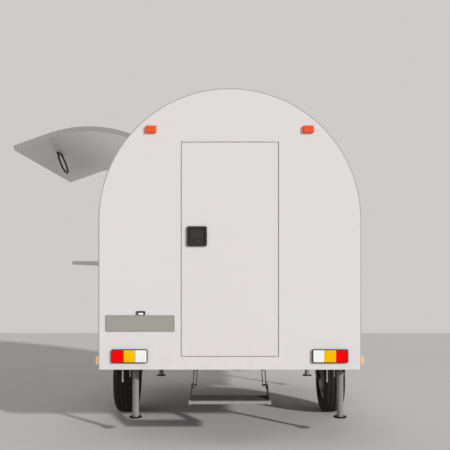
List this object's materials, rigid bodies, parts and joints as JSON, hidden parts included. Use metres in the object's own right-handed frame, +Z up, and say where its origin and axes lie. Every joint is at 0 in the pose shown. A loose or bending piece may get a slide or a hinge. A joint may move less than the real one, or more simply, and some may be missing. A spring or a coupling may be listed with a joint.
{
  "type": "single-axle food trailer",
  "caption": "White round-top food trailer with a lifted side serving hatch, fold-up serving shelf, rear door, fold-out entry step, swing-down corner legs and a jockey wheel",
  "frame": {"origin": "on the ground, under the middle of the bounding box with the hatch open", "axes": "+X to the trailer's right seen from behind, +Y forward to the tow coupling, +Z up"},
  "size_m": [2.8078, 3.899, 2.6898],
  "materials": {
    "body_white": "smooth glossy white panel skin",
    "edge_trim": "satin grey edging profile",
    "floor_grey": "coated floor board",
    "galvanised": "hot-dip galvanised",
    "black_steel": "satin black paint",
    "black_plastic": "fine grain",
    "lip_grey": "painted white-grey",
    "seal_rubber": "matt seal strip",
    "zinc": "bright zinc plate",
    "hinge_metal": "mill aluminium",
    "shelf_steel": "brushed stainless",
    "lens_red": "clear moulded lens",
    "lens_amber": "clear moulded lens",
    "lens_clear": "clear moulded lens",
    "plate_grey": "blank satin plate",
    "step_steel": "grey powder coat",
    "tread_rubber": "ribbed",
    "leg_grey": "galvanised tube",
    "tyre": "road tyre",
    "rim_silver": "silver paint"
  },
  "bodies": {
    "trailer": {"chassis_frame": "galvanised", "drawbar": "galvanised", "tow_coupling": "black_steel", "coupling_lever": "black_plastic", "floor_panel": "floor_grey", "rear_wall": "body_white", "front_wall": "body_white", "left_side_wall": "body_white", "right_side_wall": "body_white", "roof_shell": "body_white", "rear_edge_trim": "edge_trim", "front_edge_trim": "edge_trim", "wheel_arch_liners": "black_plastic", "wheel_arch_lips": "lip_grey", "door_stop_frame": "seal_rubber", "door_pivot_pins": "zinc", "axle_beam": "galvanised", "trailing_arms": "galvanised", "hatch_hinge_fixed": "hinge_metal", "shelf_hinge_fixed": "hinge_metal", "shelf_brackets": "shelf_steel", "leg_brackets": "black_steel", "leg_lock_levers": "zinc", "step_hangers": "black_steel", "tail_lamp_housings": "black_plastic", "red_lenses": "lens_red", "amber_lenses": "lens_amber", "clear_lenses": "lens_clear", "number_plate": "plate_grey", "plate_lamp": "black_plastic", "jockey_clamp": "zinc", "jockey_tube": "zinc", "jockey_crank": "zinc"},
    "door": {"rear_door": "body_white", "door_latch": "black_plastic"},
    "hatch": {"serving_hatch": "body_white", "hatch_handle": "black_steel", "hatch_hinge_leaf": "hinge_metal"},
    "shelf": {"serving_shelf": "shelf_steel", "shelf_hinge_leaf": "hinge_metal"},
    "step_rear_links": {"step_links_rear": "zinc"},
    "step_front_links": {"step_links_front": "zinc"},
    "step": {"step_tread": "step_steel", "step_pad": "tread_rubber"},
    "leg_rl": {"leg_rear_left": "leg_grey"},
    "leg_rr": {"leg_rear_right": "leg_grey"},
    "leg_fl": {"leg_front_left": "leg_grey"},
    "leg_fr": {"leg_front_right": "leg_grey"},
    "jockey_swivel": {"jockey_fork": "zinc"},
    "jockey_roller": {"jockey_wheel": "tread_rubber"},
    "wheel_left": {"tyre_left": "tyre", "rim_left": "rim_silver", "hub_left": "black_steel"},
    "wheel_right": {"tyre_right": "tyre", "rim_right": "rim_silver", "hub_right": "black_steel"}
  },
  "joints": [
    {"name": "rear_door_hinge", "type": "hinge", "parent": "trailer", "child": "door", "pos_m": [0.71088, -1.8875, 1.4655], "axis": [0, 0, -1], "range_deg": [-110, 0]},
    {"name": "hatch_hinge", "type": "hinge", "parent": "trailer", "child": "hatch", "pos_m": [-0.36353, -0.634, 2.394], "axis": [0, -1, 0], "range_deg": [0, 70.5]},
    {"name": "shelf_hinge", "type": "hinge", "parent": "trailer", "child": "shelf", "pos_m": [-0.65512, -0.634, 1.376], "axis": [0, 1, 0], "range_deg": [0, 90]},
    {"name": "step_swing", "type": "hinge", "parent": "trailer", "child": "step_rear_links", "pos_m": [0.35788, -1.5965, 0.52], "axis": [1, 0, 0], "range_deg": [0, 130]},
    {"name": "step_front_link_pivot", "type": "hinge", "parent": "trailer", "child": "step_front_links", "pos_m": [0.35788, -1.5065, 0.52], "axis": [1, 0, 0], "range_deg": [0, 130]},
    {"name": "step_tread_pivot", "type": "hinge", "parent": "step_rear_links", "child": "step", "pos_m": [0.35788, -1.74164, 0.38977], "axis": [1, 0, 0], "range_deg": [-130, 0]},
    {"name": "leg_rear_left_swing", "type": "hinge", "parent": "trailer", "child": "leg_rl", "pos_m": [-0.38712, -1.6895, 0.552], "axis": [1, 0, 0], "range_deg": [0, 90]},
    {"name": "leg_rear_right_swing", "type": "hinge", "parent": "trailer", "child": "leg_rr", "pos_m": [1.23388, -1.6895, 0.552], "axis": [1, 0, 0], "range_deg": [0, 90]},
    {"name": "leg_front_left_swing", "type": "hinge", "parent": "trailer", "child": "leg_fl", "pos_m": [-0.38712, 0.2965, 0.552], "axis": [-1, 0, 0], "range_deg": [0, 90]},
    {"name": "leg_front_right_swing", "type": "hinge", "parent": "trailer", "child": "leg_fr", "pos_m": [1.23388, 0.2965, 0.552], "axis": [-1, 0, 0], "range_deg": [0, 90]},
    {"name": "jockey_swivel_turn", "type": "hinge", "parent": "trailer", "child": "jockey_swivel", "pos_m": [0.49483, 1.6235, 0.262], "axis": [0, 0, 1], "continuous": true},
    {"name": "jockey_roller_spin", "type": "hinge", "parent": "jockey_swivel", "child": "jockey_roller", "pos_m": [0.49483, 1.5835, 0.1], "axis": [1, 0, 0], "continuous": true},
    {"name": "wheel_left_spin", "type": "hinge", "parent": "trailer", "child": "wheel_left", "pos_m": [-0.58312, -0.8115, 0.315], "axis": [1, 0, 0], "continuous": true},
    {"name": "wheel_right_spin", "type": "hinge", "parent": "trailer", "child": "wheel_right", "pos_m": [1.29888, -0.8115, 0.315], "axis": [1, 0, 0], "continuous": true}
  ],
  "couplings": [
    {"joint": "step_front_link_pivot", "follows": "step_swing", "ratio": 1},
    {"joint": "step_tread_pivot", "follows": "step_swing", "ratio": -1}
  ]
}
